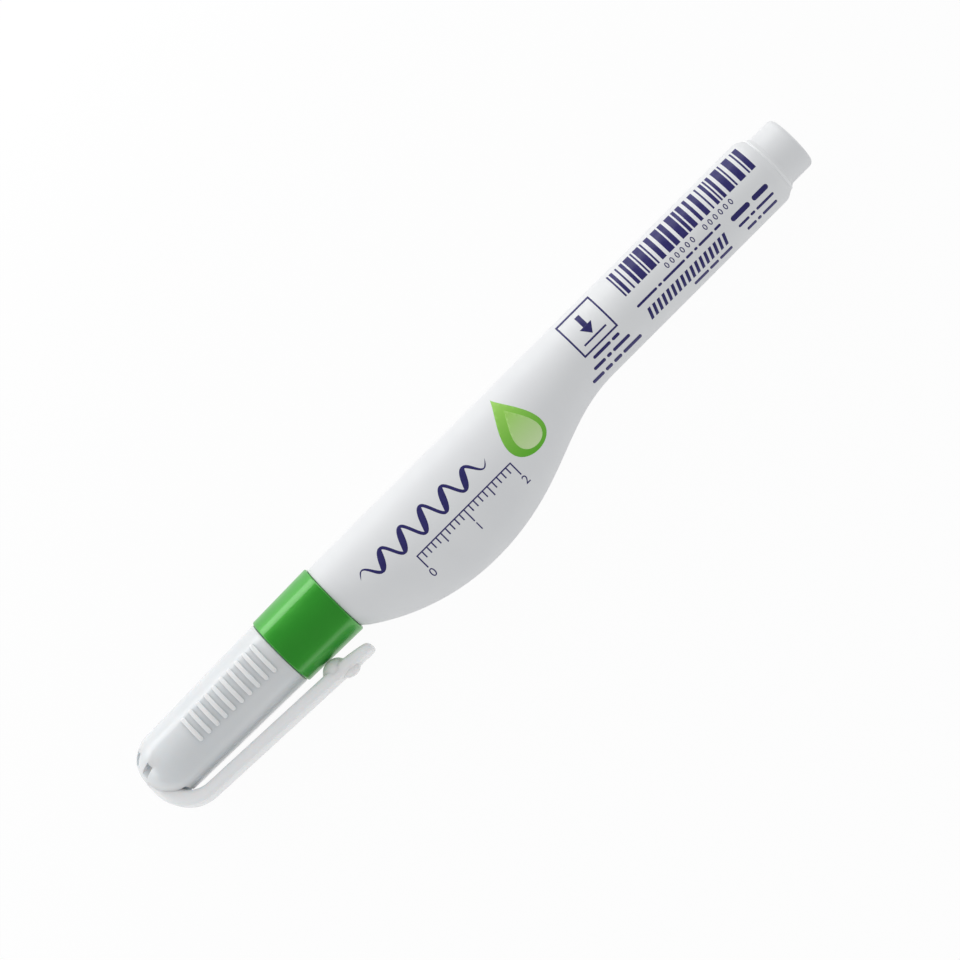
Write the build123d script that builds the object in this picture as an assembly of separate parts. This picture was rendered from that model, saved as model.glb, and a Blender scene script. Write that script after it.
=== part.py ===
from build123d import *

import os
from math import asin, cos, degrees, dist, pi, radians, sin, sqrt, tan

# Correction pen with a squeeze barrel, a spring-loaded needle tip and a push-on cap.
# Millimetres. The pen's axis runs along X from the closed end of the cap to the tail.
# The belly and the clip hang towards -Y, and +Z is up as the pen lies on its side.

# Clearances
press_gap = 0.02
seat_gap = 0.05
slide_gap = 0.08
cap_gap = 0.1

# Cap
cap_length = 28.75
cap_mouth_r = 5.95
cap_dome_r = 5.5
cap_dome_length = 5.0
cap_dome_flat_r = 0.5
cap_wall = 1.1
cap_end_thickness = 3.4
cap_floor_taper = 2.6
cap_edge_fillet = 0.2
cap_turn = 13.0

# Grip bars on both sides of the cap
rib_count = 10
rib_pitch = 1.7
rib_width = 0.8
rib_height = 0.4
rib_mouth_margin = 2.2
rib_edge_fillet = 0.3
rib_first_half_angle = 25.5
rib_last_half_angle = 30.0

# Air vents round the closed end, on the side away from the clip
vent_count = 5
vent_pitch_angle = 40.5
vent_width = 1.2
vent_depth = 4.6
vent_rim = 0.55
vent_inset = 0.4

# Pocket clip
clip_width = 4.6
clip_thickness = 2.0
clip_reach = 39.6
clip_standoff = 1.18
clip_splay = 2.55
clip_bend_r = 6.5
clip_crotch_r = 4.2
clip_corner_r = 1.6
clip_edge_fillet = 0.4
clip_lead_length = 5.0
clip_lead_depth = 0.6
clip_lead_r = 12.0
clip_root_top = 0.3
clip_root_depth = 0.9
clip_seat_angle = 31.0
clip_relief_angle = 4.0
clip_ball_from_end = 6.7
clip_ball_r = 2.0
clip_button_from_end = 4.8
clip_button_r = 1.7
clip_button_height = 0.9

# Inner cap and its seal
inner_cap_wall = 0.82
inner_cap_floor = 0.9
inner_cap_plug_r = 1.5
inner_cap_plug_length = 1.0
seal_thickness = 1.0
seal_gap = 0.2

# Nose section
collar_length = 11.6
collar_front_r = 6.2
collar_rear_r = 6.4
collar_edge_fillet = 0.25
spigot_length = 7.0
spigot_r = 4.75
spigot_ring_height = 0.06
spigot_ring_width = 0.8
spigot_ring_pitch = 2.8
cone_base_r = 4.1
land_length = 2.6
land_r = 2.0
chamber_r = 1.6
rear_bore_r = 2.6

# Metal tip
tip_cone_length = 3.6
tip_end_r = 0.7
tip_cone_r = 1.4
tip_flange_r = 1.85
tip_flange_thickness = 0.5
tip_shank_r = 1.5
tip_shank_length = 4.0
tip_bore_r = 0.75
tip_orifice_r = 0.36
tip_orifice_length = 2.0
tip_seat_half_angle = 26.0
tip_end_fillet = 0.15

# Needle
needle_reach = 0.5
needle_stem_r = 0.5
needle_collar_r = 1.25
needle_collar_thickness = 0.8
needle_tail_r = 0.45
needle_tail_past_retainer = 0.8
needle_point_fillet = 0.12

# Spring
spring_length = 7.0
spring_wire_r = 0.15
spring_mean_r = 0.95
spring_turns = 8

# Spring retainer
retainer_thickness = 3.0
retainer_hole_count = 4
retainer_hole_r = 0.45
retainer_hole_circle_r = 1.65

# Barrel
barrel_length = 94.15
barrel_r = 6.0
barrel_wall = 0.9
barrel_front_wall = 1.4
belly_depth = 13.33
belly_half_thickness = 6.6
belly_crest = 22.15
belly_length = 54.55
belly_crest_handle = 15.2
belly_tail_handle = 11.0
belly_front_stations = 4
belly_rear_stations = 6
neck_r = 4.35
neck_length = 6.8
neck_bore_r = 3.3
neck_bead_height = 0.25
neck_bead_width = 1.2
tail_cone_length = 1.35
tail_lip_r = 5.15
tail_round_r = 2.0
tail_bore_r = 4.2
tail_bore_length = 7.5

# End plug
flange_length = 0.8
stub_r = 4.7
stub_length = 4.5
stub_end_fillet = 0.9
plug_spigot_length = 7.0
plug_lead = 0.4
plug_wall = 1.0
plug_end_wall = 1.2

# Mixing ball, loose in the barrel
ball_r = 2.4
ball_from_tail_step = 24.0
ball_float = 0.3

# Stations along the pen, from the closed end of the cap
collar_front_x = cap_length + cap_gap
collar_rear_x = collar_front_x + collar_length
barrel_x = collar_rear_x + seat_gap
crest_x = barrel_x + belly_crest
belly_end_x = barrel_x + belly_length
barrel_end_x = barrel_x + barrel_length
tail_step_x = barrel_end_x - tail_bore_length
flange_x = barrel_end_x + seat_gap
stub_x = flange_x + flange_length
pen_end_x = stub_x + stub_length
inner_cap_x = cap_end_thickness + seat_gap
seal_x = inner_cap_x + inner_cap_floor + seat_gap
needle_x = seal_x + seal_thickness + seal_gap
tip_x = needle_x + needle_reach
tip_flange_x = tip_x + tip_cone_length
nose_x = tip_flange_x + tip_flange_thickness + seat_gap
cone_x = nose_x + land_length
spigot_x = collar_front_x - spigot_length
tip_seat_x = tip_x + tip_orifice_length
tip_rear_x = nose_x + tip_shank_length
needle_collar_x = tip_rear_x + seat_gap
spring_x = needle_collar_x + needle_collar_thickness + seat_gap
retainer_x = spring_x + spring_length + seat_gap
retainer_end_x = retainer_x + retainer_thickness
neck_x = barrel_x - neck_length
socket_x = neck_x - seat_gap
neck_bead_x = barrel_x - neck_length / 2

# Fits and forms that follow from the sizes above
cap_bore_r = spigot_r + spigot_ring_height + slide_gap
inner_cap_bore_r = land_r + slide_gap
inner_cap_r = inner_cap_bore_r + inner_cap_wall
vent_inner_r = inner_cap_r + vent_inset
socket_r = neck_r + seat_gap
plug_r = tail_bore_r - press_gap
belly_rise = belly_depth - barrel_r
belly_front_r = (belly_crest**2 + belly_rise**2) / (2 * belly_rise)


def turned(points):
    """Solid of revolution about the pen's axis through points (x, radius)."""
    return revolve(make_face(Polyline(*points, close=True)), Axis.X)


def across(x, y=0):
    """Plane square to the pen's axis, with its own x along Y."""
    return Plane(origin=(x, y, 0), x_dir=(0, 1, 0), z_dir=(1, 0, 0))


def bar(x_from, x_to, radius):
    """Round bar on the pen's axis."""
    return extrude(across(x_from) * Circle(radius), x_to - x_from)


def ring(x, radius, width, height):
    """Outline points of a raised ring with sloped sides, in the order of rising x."""
    reach = width / 2
    flat = width / 4
    crown = radius + height
    return [(x - reach, radius), (x - flat, crown), (x + flat, crown), (x + reach, radius)]


def rim(solid, x, radius):
    """Circular edge of a turned solid at a place and radius."""

    def miss(edge):
        return abs(edge.center().X - x) + abs(edge.radius - radius)

    return min(solid.edges().filter_by(GeomType.CIRCLE), key=miss)


def cap_radius(x):
    """Outer radius of the cap's tapered wall."""
    share = (x - cap_dome_length) / (cap_length - cap_dome_length)
    return cap_dome_r + share * (cap_mouth_r - cap_dome_r)


def grip_bars():
    """Flat-topped bars with round ends on both sides of the cap, as a mould that opens sideways leaves them."""
    ends = (cap_dome_length, cap_length)
    foot = [(x, cap_radius(x) - cap_wall / 2) for x in ends]
    crown = [(x, cap_radius(x) + rib_height) for x in reversed(ends)]
    ring = revolve(make_face(Polyline(*foot, *crown, close=True)), Axis.X)
    bars = []
    for number in range(rib_count):
        x = cap_length - rib_mouth_margin - number * rib_pitch
        share = number / max(rib_count - 1, 1)
        half_angle = rib_last_half_angle + share * (rib_first_half_angle - rib_last_half_angle)
        length = 2 * cap_radius(x) * sin(radians(half_angle))
        slot = Pos(x, 0) * SlotOverall(length, rib_width, rotation=90)
        bar = extrude(slot, 2 * cap_mouth_r) & ring
        bar = fillet(bar.faces().sort_by(Axis.Z)[-1].edges(), rib_edge_fillet)
        bars += [bar, mirror(bar, about=Plane.XY)]
    return bars


def vents():
    """Slots through the dome into the space round the inner cap."""
    outer_r = cap_dome_r - vent_rim
    middle_r = (outer_r + vent_inner_r) / 2
    slot = Pos(vent_depth / 2, middle_r) * Box(vent_depth, outer_r - vent_inner_r, vent_width)
    middle = (vent_count - 1) / 2
    return [Rot(X=(number - middle) * vent_pitch_angle) * slot for number in range(vent_count)]


def clip_seat(gap):
    """Top point of the clip's flat seat in the dome, moved in by a gap, and its direction."""
    angle = radians(clip_seat_angle)
    along = Vector(sin(angle), -cos(angle))
    inward = Vector(cos(angle), sin(angle))
    return Vector(clip_root_depth, -clip_root_top) + inward * gap, along


def clip_notch():
    """Cut in the dome that takes the clip's root and opens towards the arm, so that the clip can bend."""
    seat, along = clip_seat(seat_gap)
    along = along.rotate(Axis.Z, clip_relief_angle)
    top = seat - along * (2 * seat_gap)
    foot = top + along * (2 * cap_dome_r)
    outside = -cap_dome_length
    corners = [(top.X, top.Y), (foot.X, foot.Y), (outside, foot.Y), (outside, top.Y)]
    return extrude(make_face(Polyline(*corners, close=True)), clip_width / 2 + seat_gap, both=True)


def cap_shell():
    plug_hole_r = inner_cap_plug_r + press_gap
    plug_hole_x = inner_cap_x - inner_cap_plug_length - 2 * seat_gap
    dome_height = cap_dome_r - cap_dome_flat_r
    dome_centre = (cap_dome_length, cap_dome_flat_r)
    dome = EllipticalCenterArc(dome_centre, cap_dome_length, dome_height, 90, arc_size=90)
    walls = Polyline(
        (cap_dome_length, cap_dome_r),
        (cap_length, cap_mouth_r),
        (cap_length, cap_bore_r),
        (spigot_x - cap_wall, cap_bore_r),
        (cap_end_thickness + cap_floor_taper, cap_dome_r - cap_wall),
        (cap_end_thickness, vent_inner_r),
        (cap_end_thickness, plug_hole_r),
        (plug_hole_x, plug_hole_r),
        (plug_hole_x, 0),
        (0, 0),
        (0, cap_dome_flat_r),
    )
    shell = revolve(make_face(dome.edges() + walls.edges()), Axis.X)
    edges = [rim(shell, cap_length, cap_mouth_r), rim(shell, cap_length, cap_bore_r)]
    shell = fillet(edges, cap_edge_fillet) - vents() - clip_notch() + grip_bars()
    return Rot(X=-cap_turn) * shell


def clip_inner_y(x):
    """Inner face of the clip's arm."""
    return -(cap_dome_r + clip_standoff) - tan(radians(clip_splay)) * (x - cap_dome_length)


def clip_bump(x, y, radius, side):
    """The part of a ball that stands out from the middle of the arm, inwards (1) or outwards (-1)."""
    middle_y = clip_inner_y(x) - clip_thickness / 2
    room = 4 * radius
    return Pos(x, y) * Sphere(radius) & Pos(x, middle_y + side * room / 2) * Box(room, room, room)


def pocket_clip():
    slope = tan(radians(clip_splay))
    drop = clip_thickness / cos(radians(clip_splay))
    seat, along = clip_seat(0)
    # The crotch rounds off the corner where the seat's line would meet the arm's inner face.
    run = (seat.Y - clip_inner_y(seat.X)) / (-along.Y - slope * along.X)
    crotch = seat + along * run
    lead_x = clip_reach - clip_lead_length
    corners = [
        (0, seat.Y),
        (0, clip_inner_y(0) - drop),
        (clip_reach, clip_inner_y(clip_reach) - drop),
        (clip_reach, clip_inner_y(clip_reach) - clip_lead_depth),
        (lead_x, clip_inner_y(lead_x)),
        (crotch.X, crotch.Y),
        (seat.X, seat.Y),
    ]
    radii = [0, clip_bend_r, 0, 0, clip_lead_r, clip_crotch_r, 0]
    side = make_face(FilletPolyline(*corners, radius=radii, close=True))
    arm = extrude(side, clip_width / 2, both=True)

    half = clip_width / 2
    plan_corners = [(-half, -half), (clip_reach, -half), (clip_reach, half), (-half, half)]
    plan_radii = [0, clip_corner_r, clip_corner_r, 0]
    plan = make_face(FilletPolyline(*plan_corners, radius=plan_radii, close=True))
    arm = arm & extrude(Plane.XZ * plan, 2 * clip_reach, both=True)
    broad_faces = arm.faces().filter_by(Axis.Z, reverse=True).sort_by(SortBy.AREA)[-2:]
    edges = [edge for face in broad_faces for edge in face.edges()]
    rims = [edge for edge in edges if edge.center().X > cap_dome_length]
    arm = fillet(rims, min(clip_edge_fillet, 0.4 * clip_thickness, 0.4 * clip_root_depth))

    ball_x = clip_reach - clip_ball_from_end
    ball_y = -(collar_radius(ball_x) + cap_gap) - clip_ball_r
    ball = clip_bump(ball_x, ball_y, clip_ball_r, 1)
    button_x = clip_reach - clip_button_from_end
    button_sphere_r = (clip_button_r**2 + clip_button_height**2) / (2 * clip_button_height)
    button_y = clip_inner_y(button_x) - drop - clip_button_height + button_sphere_r
    button = clip_bump(button_x, button_y, button_sphere_r, -1)
    return Rot(X=-cap_turn) * (arm + ball + button)


def inner_cap():
    mouth_x = cone_x - seal_gap
    floor_x = seal_x - seat_gap
    return turned(
        [
            (inner_cap_x - inner_cap_plug_length, 0),
            (inner_cap_x - inner_cap_plug_length, inner_cap_plug_r),
            (inner_cap_x, inner_cap_plug_r),
            (inner_cap_x, inner_cap_r),
            (mouth_x, inner_cap_r),
            (mouth_x, inner_cap_bore_r),
            (floor_x, inner_cap_bore_r),
            (floor_x, 0),
        ]
    )


def tip_seal():
    return bar(seal_x, seal_x + seal_thickness, inner_cap_bore_r - press_gap)


def collar_radius(x):
    """Outer radius of the collar."""
    share = (x - collar_front_x) / collar_length
    return collar_front_r + share * (collar_rear_r - collar_front_r)


def nose_section():
    spigot_middle = collar_front_x - spigot_length / 2
    grip_rings = []
    for side in (-1, 1):
        x = spigot_middle + side * spigot_ring_pitch / 2
        grip_rings += ring(x, spigot_r, spigot_ring_width, spigot_ring_height)
    groove = ring(neck_bead_x, socket_r, neck_bead_width + 2 * seat_gap, neck_bead_height)
    shank_hole_r = tip_shank_r + press_gap
    step_x = retainer_x - seat_gap
    outline = [(nose_x, shank_hole_r), (nose_x, land_r), (cone_x, land_r)]
    outline += [(spigot_x, cone_base_r), (spigot_x, spigot_r)] + grip_rings
    outline += [(collar_front_x, spigot_r), (collar_front_x, collar_front_r)]
    outline += [(collar_rear_x, collar_rear_r), (collar_rear_x, socket_r)] + groove[::-1]
    outline += [(socket_x, socket_r), (socket_x, rear_bore_r), (step_x, rear_bore_r)]
    outline += [(step_x, chamber_r), (tip_rear_x, chamber_r), (tip_rear_x, shank_hole_r)]
    nose = turned(outline)
    ends = [rim(nose, collar_front_x, collar_front_r), rim(nose, collar_rear_x, collar_rear_r)]
    return fillet(ends, collar_edge_fillet)


def cone_run(rise):
    """Length along the axis over which the tip's seat cone rises."""
    return rise / tan(radians(tip_seat_half_angle))


def metal_tip():
    flange_end_x = nose_x - seat_gap
    tip = turned(
        [
            (tip_x, tip_orifice_r),
            (tip_x, tip_end_r),
            (tip_flange_x, tip_cone_r),
            (tip_flange_x, tip_flange_r),
            (flange_end_x, tip_flange_r),
            (flange_end_x, tip_shank_r),
            (tip_rear_x, tip_shank_r),
            (tip_rear_x, tip_bore_r),
            (tip_seat_x + cone_run(tip_bore_r - tip_orifice_r), tip_bore_r),
            (tip_seat_x, tip_orifice_r),
        ]
    )
    return fillet(rim(tip, tip_x, tip_end_r), tip_end_fillet)


def valve_needle():
    pin_r = tip_orifice_r - slide_gap
    shoulder_x = tip_seat_x + seat_gap
    collar_end_x = needle_collar_x + needle_collar_thickness
    tail_end_x = retainer_end_x + needle_tail_past_retainer
    needle = turned(
        [
            (needle_x, 0),
            (needle_x, pin_r),
            (shoulder_x, pin_r),
            (shoulder_x + cone_run(needle_stem_r - pin_r), needle_stem_r),
            (needle_collar_x, needle_stem_r),
            (needle_collar_x, needle_collar_r),
            (collar_end_x, needle_collar_r),
            (collar_end_x, needle_tail_r),
            (tail_end_x, needle_tail_r),
            (tail_end_x, 0),
        ]
    )
    return fillet(rim(needle, needle_x, pin_r), needle_point_fillet)


def spring_point(turn):
    """Point of the spring's centre line after a number of turns."""
    angle = 2 * pi * turn
    rise = (spring_length - 2 * spring_wire_r) / spring_turns
    return Vector(
        spring_x + spring_wire_r + rise * turn,
        spring_mean_r * cos(angle),
        spring_mean_r * sin(angle),
    )


def spring_tangent(turn):
    """Direction of the spring's centre line after a number of turns."""
    angle = 2 * pi * turn
    rise = (spring_length - 2 * spring_wire_r) / spring_turns
    return Vector(rise / (2 * pi), -spring_mean_r * sin(angle), spring_mean_r * cos(angle)).normalized()


def biarc(start, start_way, end, end_way):
    """Two arcs that leave and arrive in the given directions and meet without a kink."""
    chord = end - start
    both = start_way + end_way
    spread = 2 * (1 - start_way.dot(end_way))
    reach = (sqrt(chord.dot(both) ** 2 + spread * chord.dot(chord)) - chord.dot(both)) / spread
    meeting = (start + end + (start_way - end_way) * reach) * 0.5
    way = (end - end_way * reach - start - start_way * reach).normalized()
    return [Edge.make_tangent_arc(start, start_way, meeting), Edge.make_tangent_arc(meeting, way, end)]


def valve_spring():
    arcs = []
    for number in range(2 * spring_turns):
        turn = number / 2
        end = turn + 0.5
        arcs += biarc(spring_point(turn), spring_tangent(turn), spring_point(end), spring_tangent(end))
    section = Plane(origin=spring_point(0), z_dir=spring_tangent(0)) * Circle(spring_wire_r)
    return sweep(section, path=Wire(arcs))


def spring_gap():
    """Least gap between the spring's turns, on points of its centre line."""
    steps = 24
    points = [tuple(spring_point(number / steps)) for number in range(spring_turns * steps + 1)]
    far = steps // 2
    gaps = [dist(a, b) for number, a in enumerate(points) for b in points[number + far :]]
    return min(gaps) - 2 * spring_wire_r


def spring_retainer():
    plug = bar(retainer_x, retainer_end_x, rear_bore_r - press_gap)
    guide = bar(retainer_x, retainer_end_x, needle_tail_r + slide_gap)
    hole = Pos(0, retainer_hole_circle_r, 0) * bar(retainer_x, retainer_end_x, retainer_hole_r)
    turn = 360 / retainer_hole_count
    return plug - guide - [Rot(X=number * turn) * hole for number in range(retainer_hole_count)]


def belly_line():
    """Points (x, depth) along the belly: an arc up to its crest, then a drawn-out S-curve."""
    swing = asin(belly_crest / belly_front_r)
    points = []
    for number in range(belly_front_stations):
        angle = swing * (1 - number / belly_front_stations)
        depth = belly_depth - belly_front_r * (1 - cos(angle))
        points.append((crest_x - belly_front_r * sin(angle), depth))
    handles = (crest_x, crest_x + belly_crest_handle, belly_end_x - belly_tail_handle, belly_end_x)
    for number in range(belly_rear_stations + 1):
        t = number / belly_rear_stations
        shares = ((1 - t) ** 3, 3 * t * (1 - t) ** 2, 3 * t * t * (1 - t), t**3)
        x = sum(share * handle for share, handle in zip(shares, handles))
        points.append((x, barrel_r + belly_rise * (shares[0] + shares[1])))
    return points


def belly(points, wall):
    """Loft through flattened ovals whose upper edge stays straight, inset by a wall."""
    ovals = []
    for x, depth in points:
        swell = (belly_half_thickness - barrel_r) * (depth - barrel_r) / belly_rise
        centre_y = (barrel_r - depth) / 2
        half_height = (barrel_r + depth) / 2 - wall
        ovals.append(across(x, centre_y) * Ellipse(half_height, barrel_r + swell - wall))
    return loft(ovals)


def barrel():
    line = belly_line()
    cavity_x = barrel_x + barrel_front_wall
    inner_swing = asin((crest_x - cavity_x) / belly_front_r)
    cavity_front = (cavity_x, belly_depth - belly_front_r * (1 - cos(inner_swing)))
    cavity_line = [cavity_front] + line[1:]

    bead = ring(neck_bead_x, neck_r, neck_bead_width, neck_bead_height)
    neck = turned([(neck_x, 0), (neck_x, neck_r)] + bead + [(cavity_x, neck_r), (cavity_x, 0)])
    tube = turned(
        [
            (belly_end_x, 0),
            (belly_end_x, barrel_r),
            (barrel_end_x - tail_cone_length, barrel_r),
            (barrel_end_x, tail_lip_r),
            (barrel_end_x, 0),
        ]
    )
    tube = fillet(rim(tube, barrel_end_x - tail_cone_length, barrel_r), tail_round_r)
    hollows = [
        belly(cavity_line, barrel_wall),
        bar(belly_end_x, tail_step_x, barrel_r - barrel_wall),
        bar(neck_x, cavity_x + barrel_wall, neck_bore_r),
        bar(tail_step_x, barrel_end_x, tail_bore_r),
    ]
    return belly(line, 0) + tube + neck - hollows


def end_plug():
    front_x = flange_x - plug_spigot_length
    hollow_r = plug_r - plug_wall
    hollow_end_x = pen_end_x - plug_end_wall
    plug = turned(
        [
            (front_x, hollow_r),
            (front_x, plug_r - plug_lead),
            (front_x + plug_lead, plug_r),
            (flange_x, plug_r),
            (flange_x, tail_lip_r),
            (stub_x, stub_r),
            (pen_end_x, stub_r),
            (pen_end_x, 0),
            (hollow_end_x, 0),
            (hollow_end_x, hollow_r),
        ]
    )
    return fillet(rim(plug, pen_end_x, stub_r), stub_end_fillet)


def mixing_ball():
    drop = barrel_r - barrel_wall - ball_r - ball_float
    return Pos(tail_step_x - ball_from_tail_step, 0, -drop) * Sphere(ball_r)


pieces = {
    "barrel": barrel(),
    "end_plug": end_plug(),
    "mixing_ball": mixing_ball(),
    "nose_section": nose_section(),
    "metal_tip": metal_tip(),
    "valve_needle": valve_needle(),
    "valve_spring": valve_spring(),
    "spring_retainer": spring_retainer(),
    "cap_shell": cap_shell(),
    "pocket_clip": pocket_clip(),
    "inner_cap": inner_cap(),
    "tip_seal": tip_seal(),
}

# The origin lies under the middle of the pen as it rests on its side.
rest_z = max(belly_half_thickness, collar_rear_r)
side_y = max(collar_rear_r, barrel_r)
to_origin = Pos(-pen_end_x / 2, (belly_depth - side_y) / 2, rest_z)

print("least gap between the spring's turns", round(spring_gap(), 3))
os.makedirs("parts", exist_ok=True)
for name, piece in pieces.items():
    export_step(to_origin * piece, f"parts/{name}.step")
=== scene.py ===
# %% [markdown]
# # A correction pen, dressed in Blender
# The pen comes in as a finished set of parts that already fit and move. This lesson gives each part its
# finish, adds the print on the barrel and the wire spring in the nose, and lights the pen on a pale
# table. Lengths are in metres, in the frame of the loaded parts: the pen lies along X with its cap at
# -X, its belly hangs towards -Y, and +Z points up from the table.

# %% Load the parts
from math import asin, atan2, ceil, cos, floor, hypot, pi, radians, sin, tan

import bmesh
import bpy
from mathutils import Matrix, Vector
from mathutils.bvhtree import BVHTree


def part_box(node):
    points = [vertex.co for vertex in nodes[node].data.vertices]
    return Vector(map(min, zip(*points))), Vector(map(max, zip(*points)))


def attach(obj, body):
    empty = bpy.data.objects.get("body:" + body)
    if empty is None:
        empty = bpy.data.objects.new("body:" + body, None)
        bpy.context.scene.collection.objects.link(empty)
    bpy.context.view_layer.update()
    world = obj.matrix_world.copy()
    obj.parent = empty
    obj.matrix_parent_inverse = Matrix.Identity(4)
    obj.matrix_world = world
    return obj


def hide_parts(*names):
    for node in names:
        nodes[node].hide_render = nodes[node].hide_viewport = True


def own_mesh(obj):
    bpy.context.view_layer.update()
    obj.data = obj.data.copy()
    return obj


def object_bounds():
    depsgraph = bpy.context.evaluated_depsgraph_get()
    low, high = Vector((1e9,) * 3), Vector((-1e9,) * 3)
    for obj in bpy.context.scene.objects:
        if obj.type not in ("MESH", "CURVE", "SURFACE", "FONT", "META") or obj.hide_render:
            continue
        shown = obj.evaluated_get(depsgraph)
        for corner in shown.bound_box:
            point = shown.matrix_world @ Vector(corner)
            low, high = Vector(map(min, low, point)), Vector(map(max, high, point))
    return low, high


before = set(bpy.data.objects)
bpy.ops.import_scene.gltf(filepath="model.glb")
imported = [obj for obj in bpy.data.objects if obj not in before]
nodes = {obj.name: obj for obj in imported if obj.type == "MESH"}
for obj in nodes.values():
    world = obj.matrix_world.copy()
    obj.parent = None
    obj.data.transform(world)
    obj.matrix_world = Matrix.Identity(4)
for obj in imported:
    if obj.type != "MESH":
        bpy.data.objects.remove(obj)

MM = 0.001
scene = bpy.context.scene
cad_low, cad_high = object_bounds()
print(len(nodes), "parts, size in mm", [round(side / MM, 2) for side in cad_high - cad_low])

# %% [markdown]
# ## The pen's own axis
# Print and spring are placed along the pen, so it helps to know where its axis runs. The green nose is
# round, which means that the middle of its box lies on the axis. Places on the pen are then given as a
# distance from the closed end of the cap and a height above the axis, the way a ruler would measure
# them.

# %% The pen's axis
nose_low, nose_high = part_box("nose_section")
axis_y = (nose_low.y + nose_high.y) / 2
axis_z = (nose_low.z + nose_high.z) / 2


def on_pen(along, across):
    """X and Y of a place that is given in mm from the cap's end and from the axis."""
    return cad_low.x + along * MM, axis_y + across * MM


print("axis at y, z in mm", round(axis_y / MM, 2), round(axis_z / MM, 2))

# %% [markdown]
# ## Camera
# The pen is seen from straight above and lies slanted in the picture, with its cap at the lower left. A
# long lens far away keeps the outline nearly flat. A new camera already looks down, so one turn about Z
# gives the slant, and the lens follows from the width of table that the picture has to show.

# %% Camera
camera_distance = 600 * MM
picture_width = 147.6 * MM
picture_centre = Vector((-0.84 * MM, 0.5 * MM, axis_z))
slant = radians(-45)

camera_data = bpy.data.cameras.new("camera")
camera_data.sensor_width = 36
camera_data.lens = camera_data.sensor_width * camera_distance / picture_width
camera_data.clip_start = 10 * MM
camera = bpy.data.objects.new("camera", camera_data)
camera.location = picture_centre + Vector((0, 0, camera_distance))
camera.rotation_euler = (0, 0, slant)
scene.collection.objects.link(camera)
scene.camera = camera
print("lens in mm", round(camera_data.lens, 1))

# %% [markdown]
# ## Node helpers
# The light of the world and every finish below are small trees of shader nodes. A few helpers keep
# those trees short: one adds a node and sets its values, and the others reckon with the values that run
# along the links.

# %% Node helpers
def add(tree, kind, **settings):
    """A new shader node, with its options and its input values set by name."""
    made = tree.nodes.new("ShaderNode" + kind)
    for name, value in settings.items():
        if name in made.inputs:
            made.inputs[name].default_value = value
        else:
            setattr(made, name, value)
    return made


def combine(tree, operation, first, second):
    """The result of a sum with two values that both come from other nodes."""
    result = add(tree, "Math", operation=operation)
    tree.links.new(first, result.inputs[0])
    tree.links.new(second, result.inputs[1])
    return result.outputs["Value"]


def reckon(tree, value, *steps):
    """A value after a chain of sums, each given as an operation and its second number."""
    for operation, number in steps:
        step = add(tree, "Math", operation=operation)
        step.inputs[1].default_value = number
        tree.links.new(value, step.inputs[0])
        value = step.outputs["Value"]
    return value


def stretch(tree, value, start, end, low, high, easing="LINEAR"):
    """A value that goes from low to high while another goes from start to end."""
    ends = add(tree, "MapRange", interpolation_type=easing)
    for name, number in (("From Min", start), ("From Max", end), ("To Min", low), ("To Max", high)):
        ends.inputs[name].default_value = number
    tree.links.new(value, ends.inputs["Value"])
    return ends.outputs["Result"]


print("node helpers ready")

# %% [markdown]
# ## Light
# A product picture on white has soft light from all round and one brighter side. The world gives both:
# an even level, a glow low down on the +Y side that brightens the pen's straight edge, and a weaker one
# opposite that fills the shade under the belly. Shiny surfaces should mirror the white backdrop, but a
# dark ceiling, which keeps the green deep. A long low softbox beside the pen is the key light: it
# whitens the straight edge and lays a band along the collar. A small weak one beyond the cap lifts the
# ends of the grip bars.

# %% World
scene.view_settings.view_transform = "Standard"
sky_tint = (0.975, 0.988, 1.0, 1)
sky_level = 0.635
glow_level = 0.5
fill_level = 0.35
ceiling_level = 0.12
ceiling_starts = 0.08
ceiling_full = 0.35
world = bpy.data.worlds.new("studio")
scene.world = world
world.use_nodes = True


def backdrop_rays(tree):
    """1 for rays that look straight at the backdrop, or see it mirrored or through clear plastic."""
    rays = add(tree, "LightPath").outputs
    seen = combine(tree, "MAXIMUM", rays["Is Camera Ray"], rays["Is Glossy Ray"])
    return combine(tree, "MAXIMUM", seen, rays["Is Transmission Ray"])


def light_world():
    tree = world.node_tree
    direction = add(tree, "SeparateXYZ")
    tree.links.new(add(tree, "TexCoord").outputs["Generated"], direction.inputs["Vector"])
    side = direction.outputs["Y"]
    glow = reckon(tree, side, ("MAXIMUM", 0), ("POWER", 3), ("MULTIPLY", glow_level), ("ADD", sky_level))
    fill = reckon(tree, side, ("MINIMUM", 0), ("MULTIPLY", -1), ("POWER", 3), ("MULTIPLY", fill_level))
    sky = tree.nodes["Background"]
    sky.inputs["Color"].default_value = sky_tint
    tree.links.new(combine(tree, "ADD", glow, fill), sky.inputs["Strength"])

    backdrop = add(tree, "Background", Color=(1, 1, 1, 1))
    height = direction.outputs["Z"]
    dim = stretch(tree, height, ceiling_starts, ceiling_full, 1, ceiling_level, "SMOOTHSTEP")
    tree.links.new(dim, backdrop.inputs["Strength"])

    choose = add(tree, "MixShader")
    tree.links.new(backdrop_rays(tree), choose.inputs["Fac"])
    tree.links.new(sky.outputs["Background"], choose.inputs[1])
    tree.links.new(backdrop.outputs["Background"], choose.inputs[2])
    tree.links.new(choose.outputs["Shader"], tree.nodes["World Output"].inputs["Surface"])


light_world()
print("sky", sky_level, "with a glow on one side")

# %% Softboxes
def softbox(name, place, target_x, width, height, power):
    """A rectangular lamp that faces a place on the pen's axis."""
    data = bpy.data.lights.new(name, "AREA")
    data.shape = "RECTANGLE"
    data.size = width
    data.size_y = height
    data.energy = power
    lamp = bpy.data.objects.new(name, data)
    lamp.location = place
    lamp.rotation_mode = "QUATERNION"
    aim = Vector((target_x, axis_y, axis_z)) - lamp.location
    lamp.rotation_quaternion = aim.to_track_quat("-Z", "Y")
    scene.collection.objects.link(lamp)


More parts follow.
